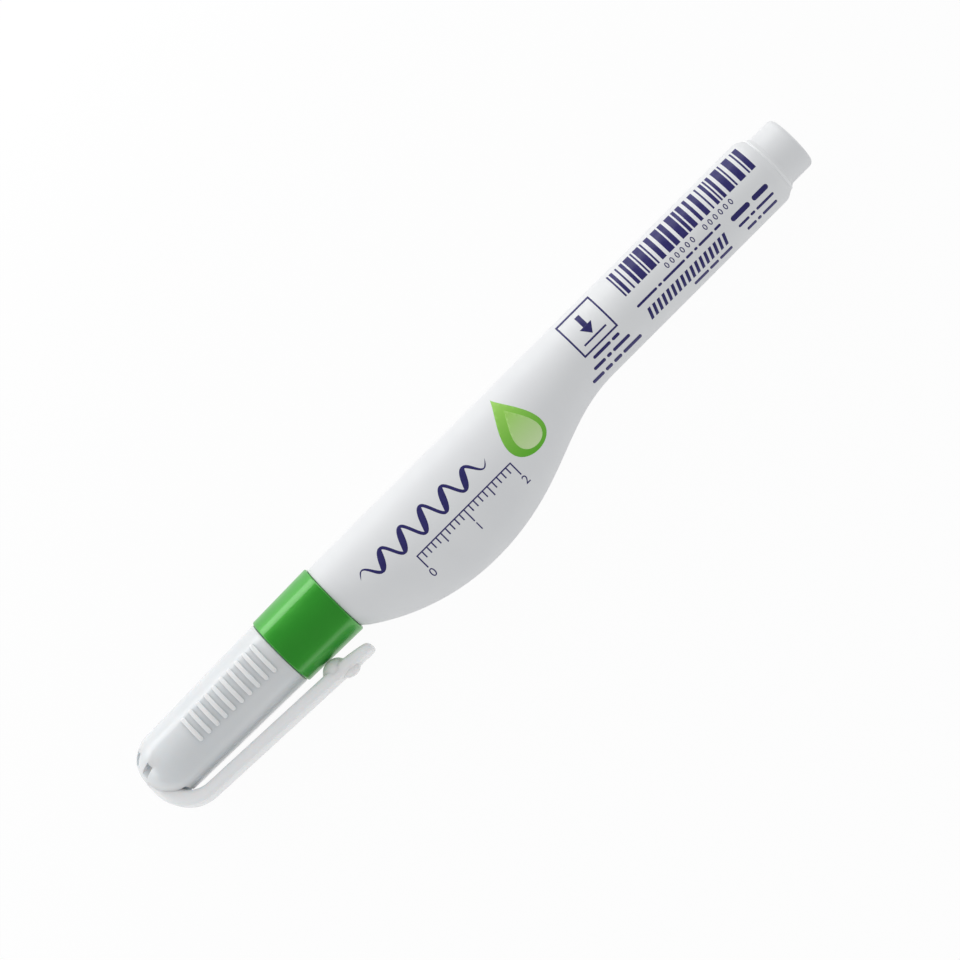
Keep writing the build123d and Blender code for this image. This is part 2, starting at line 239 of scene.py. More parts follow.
softbox("key_softbox", place=(0, 0.12, 0.017), target_x=0, width=0.3, height=0.06, power=0.105)
softbox("cap_softbox", place=(-0.13, 0.02, 0.035), target_x=-0.065, width=0.04, height=0.03, power=0.006)
print("two softboxes")

# %% [markdown]
# ## Table
# The table is one large square. It shines white towards the camera and in reflections, mixed with a
# little of its own shaded colour, so the pen still throws a faint shadow on it. For all other rays it
# is plain pale paint that sends soft light up under the pen. It is the first thing with a finish, so
# this step also makes the two helpers that start a finish. A value that is the same all over is set on
# the shader itself.

# %% A new finish
def new_finish(name):
    """A material with its node tree, its Principled shader and Object coordinates."""
    finish = bpy.data.materials.new(name)
    finish.use_nodes = True
    tree = finish.node_tree
    place = add(tree, "TexCoord").outputs["Object"]
    return finish, tree, tree.nodes["Principled BSDF"], place


def set_sockets(shader, values):
    """Set fixed values on a shader by the names of its sockets."""
    for name, value in values.items():
        shader.inputs[name].default_value = value


print("ready for finishes")

# %% Table
def make_table():
    half_side = 3.0
    whiteness = 0.95
    bm = bmesh.new()
    bmesh.ops.create_grid(bm, x_segments=1, y_segments=1, size=half_side)
    bmesh.ops.translate(bm, verts=bm.verts, vec=(0, 0, cad_low.z))
    mesh = bpy.data.meshes.new("table")
    bm.to_mesh(mesh)
    bm.free()
    table = bpy.data.objects.new("table", mesh)
    scene.collection.objects.link(table)

    finish, tree, paint = new_finish("table_paint")[:3]
    set_sockets(paint, {"Base Color": (0.86, 0.86, 0.86, 1), "Roughness": 0.9, "Specular IOR Level": 0.0})
    glow = add(tree, "Emission", Color=(1, 1, 1, 1), Strength=1.0)
    choose = add(tree, "MixShader")
    tree.links.new(reckon(tree, backdrop_rays(tree), ("MULTIPLY", whiteness)), choose.inputs["Fac"])
    tree.links.new(paint.outputs["BSDF"], choose.inputs[1])
    tree.links.new(glow.outputs["Emission"], choose.inputs[2])
    tree.links.new(choose.outputs["Shader"], tree.nodes["Material Output"].inputs["Surface"])
    mesh.materials.append(finish)


make_table()
print("table at z", round(cad_low.z / MM, 3))

# %% [markdown]
# ## Moulded plastic
# Most of the pen is injection-moulded plastic. Under a lamp it shows three quiet things: a faint drift
# of tint where the melt flowed, patches of slightly different gloss, and a fine ripple known as orange
# peel. One function makes all of these from noise, and each plastic picks its own colour, gloss and
# ripple. The noise reads Object coordinates, which are metres here, so a pattern keeps its real size on
# every piece.

# %% Patterns
def grain(tree, place, size, detail=2.0):
    """Noise whose lumps have the given size in metres."""
    noise = add(tree, "TexNoise", Scale=1 / size, Detail=detail)
    tree.links.new(place, noise.inputs["Vector"])
    return noise.outputs["Fac"]


def spread(tree, value, low, high):
    """A noise value stretched from its usual middle range to the range low to high."""
    noise_low = 0.3
    noise_high = 0.7
    return stretch(tree, value, noise_low, noise_high, low, high)


def tint_between(tree, share, colour, other):
    """A colour that goes from one to another as a share goes from 0 to 1."""
    tint = add(tree, "Mix", data_type="RGBA")
    tint.inputs["A"].default_value = (*colour, 1)
    tint.inputs["B"].default_value = (*other, 1)
    tree.links.new(share, tint.inputs["Factor"])
    return tint.outputs["Result"]


print("patterns ready")

# %% Moulded plastic
def moulded_plastic(name, colour, drift, gloss, ripple):
    """Plastic whose colour drifts to a second one, with a range of roughness and a height of ripple."""
    flow_size = 9 * MM
    patch_size = 2.5 * MM
    peel_size = 0.7 * MM
    finish, tree, shader, place = new_finish(name)
    flow = spread(tree, grain(tree, place, flow_size), 0, 1)
    tree.links.new(tint_between(tree, flow, colour, drift), shader.inputs["Base Color"])
    patches = grain(tree, place, patch_size, 4)
    tree.links.new(spread(tree, patches, *gloss), shader.inputs["Roughness"])
    peel = add(tree, "Bump", Strength=1.0, Distance=ripple)
    tree.links.new(grain(tree, place, peel_size), peel.inputs["Height"])
    tree.links.new(peel.outputs["Normal"], shader.inputs["Normal"])
    return finish


barrel_plastic = moulded_plastic(
    "barrel_plastic", (0.80, 0.805, 0.815), (0.83, 0.835, 0.84), (0.44, 0.52), 0.004 * MM
)
cap_plastic = moulded_plastic(
    "cap_plastic", (0.75, 0.775, 0.795), (0.78, 0.80, 0.815), (0.28, 0.34), 0.001 * MM
)
green_plastic = moulded_plastic(
    "green_plastic", (0.011, 0.305, 0.013), (0.014, 0.335, 0.015), (0.36, 0.44), 0.0015 * MM
)
clip_plastic = moulded_plastic(
    "clip_plastic", (0.91, 0.915, 0.92), (0.93, 0.935, 0.94), (0.2, 0.27), 0.001 * MM
)
natural_plastic = moulded_plastic(
    "natural_plastic", (0.70, 0.72, 0.70), (0.75, 0.76, 0.74), (0.4, 0.5), 0.003 * MM
)
seal_rubber = moulded_plastic(
    "seal_rubber", (0.16, 0.16, 0.165), (0.19, 0.19, 0.195), (0.6, 0.75), 0.006 * MM
)
print("plastics ready")

# %% [markdown]
# ## Painted light and shade on the grip bars
# The tops of the grip bars are painted paler as a painted highlight, and the gaps between them are
# painted darker as painted shade. A painted mask could show that, but the shape itself already tells
# where: the cap's finish measures how far a point stands out of the cap's round wall, and how closed in it
# is.

# %% Painted light and shade on the grip bars
def height_over_wall(tree):
    """How far a point stands out of the cap's wall, which narrows towards the closed end."""
    taper = 0.019
    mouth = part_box("cap_shell")[1]
    offset = add(tree, "VectorMath", operation="SUBTRACT")
    offset.inputs[1].default_value = (mouth.x, axis_y, axis_z)
    tree.links.new(add(tree, "TexCoord").outputs["Object"], offset.inputs[0])
    sides = add(tree, "SeparateXYZ")
    tree.links.new(offset.outputs["Vector"], sides.inputs["Vector"])
    wall = reckon(tree, sides.outputs["X"], ("MULTIPLY", taper), ("ADD", mouth.y - axis_y))
    across = add(tree, "VectorMath", operation="MULTIPLY")
    across.inputs[1].default_value = (0, 1, 1)
    tree.links.new(offset.outputs["Vector"], across.inputs[0])
    radius = add(tree, "VectorMath", operation="LENGTH")
    tree.links.new(across.outputs["Vector"], radius.inputs[0])
    return combine(tree, "SUBTRACT", radius.outputs["Value"], wall)


def paint_bar_light_and_shade(finish, painted_highlight, painted_shade):
    """Paint a finish paler on top of the grip bars as a painted highlight, and darker between them as
    painted shade.
    """
    highlight_starts = 0.1 * MM
    highlight_full = 0.3 * MM
    skin_starts = -0.06 * MM
    skin_full = -0.02 * MM
    gap_reach = 1.0 * MM
    most_closed = 0.5
    darkest_shade = 0.55
    tree = finish.node_tree
    base = tree.nodes["Principled BSDF"].inputs["Base Color"]
    proud = height_over_wall(tree)
    # painted highlight: the tops of the bars are painted paler
    top = stretch(tree, proud, highlight_starts, highlight_full, 0, 1, "SMOOTHSTEP")
    outside = stretch(tree, proud, skin_starts, skin_full, 0, 1, "SMOOTHSTEP")
    # painted shade: the closed-in gaps between the bars are painted darker
    openness = add(tree, "AmbientOcclusion", samples=8, only_local=True, Distance=gap_reach)
    hollow = stretch(tree, openness.outputs["AO"], most_closed, 1, darkest_shade, 0, "SMOOTHSTEP")
    colour = base.links[0].from_socket
    for share, tint in ((top, painted_highlight), (combine(tree, "MULTIPLY", hollow, outside), painted_shade)):
        blend = add(tree, "Mix", data_type="RGBA")
        blend.inputs["B"].default_value = (*tint, 1)
        tree.links.new(share, blend.inputs["Factor"])
        tree.links.new(colour, blend.inputs["A"])
        colour = blend.outputs["Result"]
    tree.links.new(colour, base)


# paler tops are a painted highlight, the darker gaps are painted shade
paint_bar_light_and_shade(cap_plastic, painted_highlight=(0.89, 0.895, 0.90), painted_shade=(0.50, 0.52, 0.53))
print("grip bars worn")

# %% [markdown]
# ## Gloss and depth
# Light goes a little way into the white plastic of cap and clip, which softens the shade in the vents
# and at the clip's root. The cap and the collar are also glossier than the barrel, which a clear coat
# on the shader gives without a second material, and the pigment tints the collar's gloss.

# %% Gloss and depth
def shade(finish, values):
    """Set fixed values on a finish that is already made."""
    set_sockets(finish.node_tree.nodes["Principled BSDF"], values)


depth = {"Subsurface Weight": 0.4, "Subsurface Radius": (0.7, 0.87, 1.0), "Subsurface Scale": 2.0 * MM}
shade(cap_plastic, depth)
shade(clip_plastic, depth)
shade(cap_plastic, {"Coat Weight": 0.6, "Coat Roughness": 0.15, "Coat IOR": 1.6})
shade(green_plastic, {"Coat Weight": 0.45, "Coat Roughness": 0.06, "Coat IOR": 2.0})
shade(green_plastic, {"IOR": 2.4, "Specular Tint": (0.3, 1.0, 0.2, 1)})
print("gloss set")

# %% [markdown]
# ## Steel
# The tip and the needle are turned on a lathe, which leaves fine rings round the axis. Noise that is
# squeezed along X and stretched across it gives such rings. The mixing ball is tumbled and polished
# instead, so it gets a smoother steel with only soft cloudy marks.

# %% Steel
def turned_steel():
    finish, tree, shader, place = new_finish("turned_steel")
    set_sockets(shader, {"Base Color": (0.60, 0.59, 0.575, 1), "Metallic": 1.0})
    groove = 0.06 * MM
    across_scale = 0.02
    squeeze = add(tree, "Mapping", Scale=(1, across_scale, across_scale))
    tree.links.new(place, squeeze.inputs["Vector"])
    rings = grain(tree, squeeze.outputs["Vector"], groove, 3)
    tree.links.new(spread(tree, rings, 0.2, 0.34), shader.inputs["Roughness"])
    cut = add(tree, "Bump", Strength=0.6, Distance=0.001 * MM)
    tree.links.new(rings, cut.inputs["Height"])
    tree.links.new(cut.outputs["Normal"], shader.inputs["Normal"])
    return finish


def polished_steel():
    finish, tree, shader, place = new_finish("polished_steel")
    set_sockets(shader, {"Base Color": (0.64, 0.635, 0.625, 1), "Metallic": 1.0})
    clouds = grain(tree, place, 0.8 * MM, 3)
    tree.links.new(spread(tree, clouds, 0.1, 0.2), shader.inputs["Roughness"])
    return finish


tip_steel = turned_steel()
bright_steel = polished_steel()
print("steels ready")

# %% [markdown]
# ## Dress the parts
# The shapes of the loaded parts are right, so they stay as they are and only take a finish. A table of
# part and finish is easier to read and to change than a line of code for each part.

# %% Dress the parts
finishes = {
    "end_plug": barrel_plastic,
    "nose_section": green_plastic,
    "cap_shell": cap_plastic,
    "inner_cap": natural_plastic,
    "spring_retainer": natural_plastic,
    "tip_seal": seal_rubber,
    "metal_tip": tip_steel,
    "valve_needle": tip_steel,
    "mixing_ball": bright_steel,
}
for part_name, finish in finishes.items():
    for slot in nodes[part_name].material_slots:
        slot.material = finish
print("dressed", len(finishes), "parts")

# %% [markdown]
# ## Spring
# The needle's spring is wound from thin wire, with a closed turn at each end so that it stands square.
# It could be a curve with a round bevel, but a spin that also moves forward on each step turns a small
# circle into the same coil at once, with a small rise for the closed turns and a larger one for the
# open ones. It shortens when the needle is pressed in.

# %% Spring
spring_low, spring_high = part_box("valve_spring")
spring_length = spring_high.x - spring_low.x


def make_spring():
    wire_r = 0.15 * MM
    closed_turns = 1
    open_turns = 6
    steps_per_turn = 28
    mean_r = (spring_high.y - spring_low.y) / 2 - wire_r
    closed_rise = 2.1 * wire_r
    open_rise = (spring_length - 2 * wire_r - 2 * closed_turns * closed_rise) / open_turns
    bm = bmesh.new()
    start = Matrix.Translation((spring_low.x + wire_r, axis_y + mean_r, axis_z))
    ring = bmesh.ops.create_circle(bm, segments=10, radius=wire_r, matrix=start)
    end = ring["verts"] + list({edge for vert in ring["verts"] for edge in vert.link_edges})
    for turns, rise in ((closed_turns, closed_rise), (open_turns, open_rise), (closed_turns, closed_rise)):
        steps = turns * steps_per_turn
        wound = bmesh.ops.spin(
            bm, geom=end, cent=(0, axis_y, axis_z), axis=(1, 0, 0), dvec=(turns * rise / steps, 0, 0),
            angle=2 * pi * turns, steps=steps,
        )
        end = wound["geom_last"]
    bmesh.ops.holes_fill(bm, edges=[edge for edge in bm.edges if edge.is_boundary], sides=0)
    bmesh.ops.recalc_face_normals(bm, faces=bm.faces)
    return bm


def finish_piece(name, bm, finish, body, smooth=True):
    """A finished mesh as an object at the origin that moves with a body."""
    mesh = bpy.data.meshes.new(name)
    for face in bm.faces:
        face.smooth = smooth
    bm.to_mesh(mesh)
    bm.free()
    mesh.materials.append(finish)
    piece = bpy.data.objects.new(name, mesh)
    scene.collection.objects.link(piece)
    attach(piece, body)
    print(name, len(mesh.polygons), "faces")
    return piece


spring = finish_piece("needle_spring", make_spring(), bright_steel, "pen")
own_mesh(spring)
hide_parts("valve_spring")

# %% [markdown]
# ## Barrel
# The barrel is one hollow moulding: an oval belly that runs out into a round tube, with a neck at the
# front and a bore for the plug at the tail. It could be sculpted, but its cross-sections are known
# ovals, so a ring of points is extruded from oval to oval, down the outside and back through the
# inside, until the wall closes on itself.

# %% Barrel sizes
barrel_low, barrel_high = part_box("barrel")
seat_gap = 0.05 * MM
skin_inset = 0.015 * MM
barrel_wall = 0.9 * MM
front_wall = 1.4 * MM
tube_r = barrel_high.y - axis_y
belly_depth = axis_y - barrel_low.y
belly_half = (barrel_high.z - barrel_low.z) / 2
belly_rise = belly_depth - tube_r
front_x = nose_high.x + seat_gap
crest_x = front_x + 22.15 * MM
belly_end_x = front_x + 54.55 * MM
tail_x = barrel_high.x


def oval(x, depth, inset):
    """A cross-section as its place, middle, half height and half thickness."""
    swell = (belly_half - tube_r) * (depth - tube_r) / belly_rise
    middle = axis_y + (tube_r - depth) / 2
    return x, middle, (tube_r + depth) / 2 - inset, tube_r + swell - inset


def round_section(x, radius):
    return x, axis_y, radius, radius


def belly_line(first_x):
    """Place and depth along the belly: an arc up to the crest, then an S-curve down to the tube."""
    arc_r = ((crest_x - front_x) ** 2 + belly_rise**2) / (2 * belly_rise)
    arc_steps = 20
    curve_steps = 36
    crest_handle = 15.2 * MM
    tail_handle = 11.0 * MM
    swing = asin((crest_x - first_x) / arc_r)
    points = []
    for number in range(arc_steps):
        angle = swing * (1 - number / arc_steps)
        points.append((crest_x - arc_r * sin(angle), belly_depth - arc_r * (1 - cos(angle))))
    corners = (crest_x, crest_x + crest_handle, belly_end_x - tail_handle, belly_end_x)
    for number in range(curve_steps + 1):
        t = number / curve_steps
        shares = ((1 - t) ** 3, 3 * t * (1 - t) ** 2, 3 * t * t * (1 - t), t**3)
        x = sum(share * corner for share, corner in zip(shares, corners))
        points.append((x, tube_r + belly_rise * (shares[0] + shares[1])))
    return points


print("barrel from", round(front_x / MM, 2), "to", round(tail_x / MM, 2), "mm")

# %% Barrel sections
def outer_sections():
    """Ovals down the outside, with a small round at the front edge and a rounded cone at the tail."""
    edge_r = 0.2 * MM
    cone_length = 1.35 * MM
    lip_r = 5.15 * MM
    lip_round = 0.1 * MM
    lip_lift = 0.06 * MM
    corner_r = 2.0 * MM
    round_steps = 5
    sections = []
    line = belly_line(front_x)
    for number in range(round_steps):
        angle = pi / 2 * number / round_steps
        inset = edge_r * (1 - sin(angle))
        sections.append(oval(front_x + edge_r * (1 - cos(angle)), line[0][1], inset + skin_inset))
    sections += [oval(x, depth, skin_inset) for x, depth in line if x > front_x + edge_r]
    slope = atan2(tube_r - lip_r, cone_length)
    arc_x = tail_x - cone_length - corner_r * tan(slope / 2)
    for number in range(round_steps + 1):
        angle = slope * number / round_steps
        radius = tube_r - corner_r * (1 - cos(angle))
        sections.append(round_section(arc_x + corner_r * sin(angle), radius - skin_inset))
    sections.append(round_section(tail_x - lip_round, lip_r + lip_lift))
    sections.append(round_section(tail_x, lip_r - lip_round))
    return sections


def inner_sections():
    """Rings back through the plug's bore, the cavity and the neck."""
    plug_bore_r = 4.2 * MM
    plug_bore_length = 7.5 * MM
    neck_bore_r = 3.3 * MM
    neck_r = 4.35 * MM
    step_x = tail_x - plug_bore_length
    cavity_x = front_x + front_wall
    sections = [round_section(tail_x, plug_bore_r), round_section(step_x, plug_bore_r)]
    sections.append(round_section(step_x, tube_r - barrel_wall))
    line = [(x, depth) for x, depth in belly_line(front_x) if x > cavity_x]
    sections += [oval(x, depth, barrel_wall) for x, depth in reversed(line)]
    sections += [round_section(cavity_x, neck_bore_r), round_section(barrel_low.x, neck_bore_r)]
    sections += [round_section(barrel_low.x, neck_r), round_section(front_x, neck_r)]
    return sections


print(len(outer_sections()), "outer and", len(inner_sections()), "inner sections")

# %% Barrel shell
def edges_of(verts):
    """The edges that run between these points."""
    chosen = set(verts)
    near = {edge for vert in verts for edge in vert.link_edges}
    return [edge for edge in near if chosen.issuperset(edge.verts)]


def loft(bm, edges, places):
    """Extrude a ring of edges from place to place, each a matrix, and give back the last ring."""
    for before, after in zip(places, places[1:]):
        grown = bmesh.ops.extrude_edge_only(bm, edges=edges)["geom"]
        ring = [item for item in grown if isinstance(item, bmesh.types.BMVert)]
        bmesh.ops.transform(bm, matrix=after @ before.inverted(), verts=ring)
        edges = edges_of(ring)
    return edges


def barrel_shell(segments):
    places = []
    for x, middle, half_y, half_z in outer_sections() + inner_sections():
        places.append(Matrix.Translation((x, middle, axis_z)) @ Matrix.Diagonal((1, half_y, half_z, 1)))
    bm = bmesh.new()
    upright = places[0] @ Matrix.Rotation(pi / 2, 4, "Y")
    first = edges_of(bmesh.ops.create_circle(bm, segments=segments, radius=1, matrix=upright)["verts"])
    last = loft(bm, first, places)
    bmesh.ops.bridge_loops(bm, edges=first + last)
    bmesh.ops.recalc_face_normals(bm, faces=bm.faces)
    return bm


barrel_crease = radians(40)
barrel = finish_piece("squeeze_barrel", barrel_shell(segments=160), barrel_plastic, "pen")
barrel.data.set_sharp_from_angle(angle=barrel_crease)
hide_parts("barrel")

# %% [markdown]
# ## Rim at the tail
# Where the plug is pressed in, a fine bead of plastic closes the seam. The bead catches the light, and
# its plastic is also painted paler than the barrel's as a painted highlight, so it reads as a pale line.
# A torus would do, but a small circle spun round the pen's axis is just as short and sits in place at once.

# %% Rim at the tail
def tail_rim():
    bead_r = 0.3 * MM
    seam_r = 4.95 * MM
    bm = bmesh.new()
    start = Matrix.Translation((tail_x + seat_gap / 2, axis_y + seam_r, axis_z))
    bead = bmesh.ops.create_circle(bm, segments=14, radius=bead_r, matrix=start)["verts"]
    bmesh.ops.spin(
        bm, geom=bead + edges_of(bead), cent=(0, axis_y, axis_z), axis=(1, 0, 0), angle=2 * pi,
        steps=120, use_merge=True,
    )
    bmesh.ops.recalc_face_normals(bm, faces=bm.faces)
    print("open edges on the rim", sum(not edge.is_manifold for edge in bm.edges))
    return bm


# painted highlight: the rim's plastic is paler than the barrel's, so the seam shows as a pale line
rim_painted_highlight = moulded_plastic(
    "rim_painted_highlight", (0.88, 0.885, 0.89), (0.90, 0.905, 0.91), (0.44, 0.52), 0.001 * MM
)
rim = finish_piece("tail_rim", tail_rim(), rim_painted_highlight, "pen")

# %% [markdown]
# ## Pocket clip
# The clip is a moulded bar that grows out of the closed end, bends round and runs back along the cap.
# Each station along it is given by a point on its outer line and one on its inner line. A rounded
# section is lofted through the stations, so the soft edge follows the bend, which a fillet on straight
# edges would not. The bump that rests on the collar and the button on the outside are parts of balls.

# %% Clip lines
clip_turn = radians(-13)
clip_splay = radians(2.55)
clip_start_y = -6.457
clip_half_width = 2.3
clip_thickness = 2.0
lead_length = 5.0
lead_depth = 0.6
lead_power = 1.5
clip_reach = (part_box("pocket_clip")[1].x - cad_low.x) / MM
cap_end = Matrix.Translation((cad_low.x, axis_y, axis_z))
clip_place = cap_end @ Matrix.Rotation(clip_turn, 4, "X") @ Matrix.Scale(MM, 4)


def clip_line(along, depth):
    """A point of the arm, in mm from the cap's end and from the axis, at a depth under its inner face."""
    return Vector((along, clip_start_y - tan(clip_splay) * along - depth / cos(clip_splay)))


def corner_arc(before, corner, after, radius, steps):
    """Points of the arc that rounds a corner between two straight lines."""
    back = (before - corner).normalized()
    ahead = (after - corner).normalized()
    half = back.angle(ahead) / 2
    centre = corner + (back + ahead).normalized() * (radius / sin(half))
    spoke = corner + back * (radius / tan(half)) - centre
    turn = pi - 2 * half
    return [centre + Matrix.Rotation(turn * number / steps, 2) @ spoke for number in range(steps + 1)]


def clip_stations():
    """Pairs of points on the outer and the inner line, from the root to the tip."""
    bend_r = 6.5
    crotch_r = 4.2
    seat_angle = radians(31)
    steps = 18
    root = Vector((0, -0.3))
    seat = Vector((0.9, -0.3))
    fall = Vector((sin(seat_angle), -cos(seat_angle)))
    run = (seat.y - clip_line(seat.x, 0).y) / (-fall.y - tan(clip_splay) * fall.x)
    heel = clip_line(0, clip_thickness)
    tip = clip_line(clip_reach, 0)
    outer = [root] + corner_arc(root, heel, clip_line(clip_reach, clip_thickness), bend_r, steps)
    inner = [seat] + corner_arc(seat, seat + fall * run, tip, crotch_r, steps)
    return list(zip(outer, inner))


print("clip reaches", round(clip_reach, 2), "mm from the cap's end")

# %% Clip bar
def clip_section(outer, inner, width_share, depth_share):
    """Matrix that puts the clip's section between two points, with its width and depth scaled."""
    across = inner - outer
    way = Vector((across.y, -across.x)).normalized()
    depth = across * (depth_share / clip_thickness)
    middle = (outer + inner) / 2
    rows = (
        (way.x, depth.x, 0, middle.x),
        (way.y, depth.y, 0, middle.y),
        (0, 0, width_share, 0),
        (0, 0, 0, 1),
    )
    return clip_place @ Matrix(rows)


def arm_section(along, width_share, depth_share):
    """A section of the straight arm, whose inner face leads away from the cap near the tip."""
    lead = max(0, 1 - (clip_reach - along) / lead_length)
    ends = clip_line(along, clip_thickness), clip_line(along, lead_depth * lead**lead_power)
    return clip_section(*ends, width_share, depth_share)


def tip_sections():
    """The lead and the tip of the arm, which is rounded in plan and in thickness."""
    corner_r = 1.6
    nose_r = 0.6
    nose_share = 0.85
    lead_steps = 8
    steps = 12
    sections = []
    for number in range(lead_steps):
        along = clip_reach - lead_length + (lead_length - corner_r) * number / lead_steps
        sections.append(arm_section(along, 1, 1))
    for number in range(steps + 1):
        angle = pi / 2 * number / steps
        back = corner_r * (1 - sin(angle))
        width = clip_half_width - corner_r * (1 - cos(angle))
        short = max(0, 1 - back / nose_r)
        depth_share = 1 - nose_share * (1 - (1 - short**2) ** 0.5)
        sections.append(arm_section(clip_reach - back, width / clip_half_width, depth_share))
    return sections


def clip_bar():
    edge_r = 0.75
    edge_steps = 7
    places = [clip_section(*ends, 1, 1) for ends in clip_stations()] + tip_sections()
    bm = bmesh.new()
    shape = Matrix.Diagonal((1, clip_thickness, 2 * clip_half_width, 1)) @ Matrix.Rotation(pi / 2, 4, "Y")
    bmesh.ops.create_grid(bm, x_segments=1, y_segments=1, size=0.5, matrix=shape)
    bmesh.ops.bevel(
        bm, geom=bm.verts[:], offset=edge_r, affect="VERTICES", segments=edge_steps, profile=0.5, material=-1
    )
    bmesh.ops.transform(bm, matrix=places[0], verts=bm.verts)
    last = loft(bm, bm.edges[:], places)
    bmesh.ops.edgeloop_fill(bm, edges=last)
    bmesh.ops.recalc_face_normals(bm, faces=bm.faces)
    return bm


bar = clip_bar()
print(len(bar.faces), "faces in the clip's bar")

# %% Clip bumps
def add_bump(bm, middle, radius, side):
    """Part of a ball that stands out from the middle of the arm, inwards (1) or outwards (-1)."""
    place = Matrix.Translation((middle.x, middle.y, 0))
    ball = bmesh.ops.create_uvsphere(bm, u_segments=48, v_segments=24, radius=radius, matrix=place)["verts"]
    parts = ball + edges_of(ball) + list({face for vert in ball for face in vert.link_faces})
    foot = clip_line(middle.x, clip_thickness / 2)
    cut = bmesh.ops.bisect_plane(
        bm, geom=parts, plane_co=(foot.x, foot.y, 0), plane_no=(0, side, 0), clear_inner=True
    )["geom_cut"]
    bmesh.ops.edgeloop_fill(bm, edges=[item for item in cut if isinstance(item, bmesh.types.BMEdge)])


def clip_bumps():
    ball_r = 2.4
    ball_from_tip = 6.7
    ball_top = -6.37
    button_r = 1.7
    button_height = 0.9
    button_from_tip = 4.8
    button_x = clip_reach - button_from_tip
    round_r = (button_r**2 + button_height**2) / (2 * button_height)
    bm = bmesh.new()
    add_bump(bm, Vector((clip_reach - ball_from_tip, ball_top - ball_r)), ball_r, 1)
    add_bump(bm, clip_line(button_x, clip_thickness + button_height - round_r), round_r, -1)
    bmesh.ops.transform(bm, matrix=clip_place, verts=bm.verts)
    bmesh.ops.recalc_face_normals(bm, faces=bm.faces)
    return bm


clip_crease = radians(50)
clip = finish_piece("clip_bar", bar, clip_plastic, "clip")
clip.data.set_sharp_from_angle(angle=clip_crease)
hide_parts("pocket_clip")
bumps = finish_piece("clip_bumps", clip_bumps(), clip_plastic, "clip")
bumps.data.set_sharp_from_angle(angle=clip_crease)

# %% [markdown]
# ## Print tools
# The print is thin ink on a curved barrel. An image could be wrapped round it, but shapes stay sharp at
# any distance, and drawing them flat is easy. Each sign is made of flat faces, as on a drawing board.
# The drawing is cut into small cells, so that it can bend, each point is dropped onto the barrel by a
# ray, and the film gets a little thickness that reaches into the wall.

# %% Print tools
ink_lift = 0.01 * MM
ink_layer = 0.004 * MM
ink_depth = 0.03 * MM
cells = 0.6 * MM, 0.15 * MM
barrel_mesh = barrel.data
barrel_skin = BVHTree.FromPolygons(
    [vert.co for vert in barrel_mesh.vertices], [face.vertices for face in barrel_mesh.polygons]
)


def draw_bar(bm, along, across, length, height):
    """A flat rectangle, by its middle and its sides in mm."""
    x, y = on_pen(along, across)
    size = Matrix.Diagonal((length * MM, height * MM, 1, 1))
    made = bmesh.ops.create_grid(
        bm, x_segments=1, y_segments=1, size=0.5, matrix=Matrix.Translation((x, y, 0)) @ size
    )
    return made["verts"]


def draw_dash(bm, along, across, length, height):
    """A flat bar with round ends: a disc whose two halves are pulled apart."""
    x, y = on_pen(along, across)
    segments = 22
    half_step = Matrix.Rotation(pi / segments, 4, "Z")
    disc = bmesh.ops.create_circle(
        bm, cap_ends=True, segments=segments, radius=height * MM / 2, matrix=half_step
    )
    reach = (length - height) / 2 * MM
    for vert in disc["verts"]:
        vert.co.x += reach if vert.co.x > 0 else -reach
    bmesh.ops.translate(bm, verts=disc["verts"], vec=(x, y, 0))


def cut_in_cells(bm):
    """Slice flat faces along a grid of cells, finer across the pen, where the barrel curves more."""
    for axis, cell in enumerate(cells):
        low = min(vert.co[axis] for vert in bm.verts)
        high = max(vert.co[axis] for vert in bm.verts)
        normal = Vector((0, 0, 0))
        normal[axis] = 1
        for number in range(floor(low / cell) + 1, ceil(high / cell)):
            bmesh.ops.bisect_plane(
                bm, geom=bm.verts[:] + bm.edges[:] + bm.faces[:], plane_co=normal * (number * cell),
                plane_no=normal,
            )


def lay_on_barrel(bm, layer=0):
    """Drop a flat drawing onto the barrel and give it the thickness of ink. Layer 1 lies on layer 0."""
    cut_in_cells(bm)
    bmesh.ops.triangulate(bm, faces=bm.faces)
    above = cad_high.z + 10 * MM
    down = Vector((0, 0, -1))
    for vert in bm.verts:
        hit, normal = barrel_skin.ray_cast(Vector((vert.co.x, vert.co.y, above)), down)[:2]
        vert.co = hit + normal * (ink_lift + layer * ink_layer)
    under = bmesh.ops.extrude_face_region(bm, geom=bm.faces[:], use_keep_orig=True)
    moved = [item for item in under["geom"] if isinstance(item, bmesh.types.BMVert)]
    bmesh.ops.translate(bm, verts=moved, vec=(0, 0, -ink_depth))
    bmesh.ops.recalc_face_normals(bm, faces=bm.faces)


print("barrel skin has", len(barrel_mesh.polygons), "faces")

# %% [markdown]
# ## Inks
# Pad-printed ink lies thin and even, and dries a little glossier than the plastic. A trace of noise in
# the tint and the gloss stands for the film's uneven thickness. The green ink is graded from light to
# full, as inks in two passes are, by reading the height across the barrel.

# %% Inks
def ink_gloss(tree, shader, place):
    """The gloss that all inks share."""
    tree.links.new(spread(tree, grain(tree, place, 1.5 * MM), 0.3, 0.4), shader.inputs["Roughness"])
    set_sockets(shader, {"Specular IOR Level": 0.3})


def indigo_ink():
    finish, tree, shader, place = new_finish("indigo_ink")
    drift = spread(tree, grain(tree, place, 0.5 * MM, 4), 0, 1)
    tint = tint_between(tree, drift, (0.026, 0.022, 0.135), (0.036, 0.031, 0.165))
    tree.links.new(tint, shader.inputs["Base Color"])
    ink_gloss(tree, shader, place)
    return finish


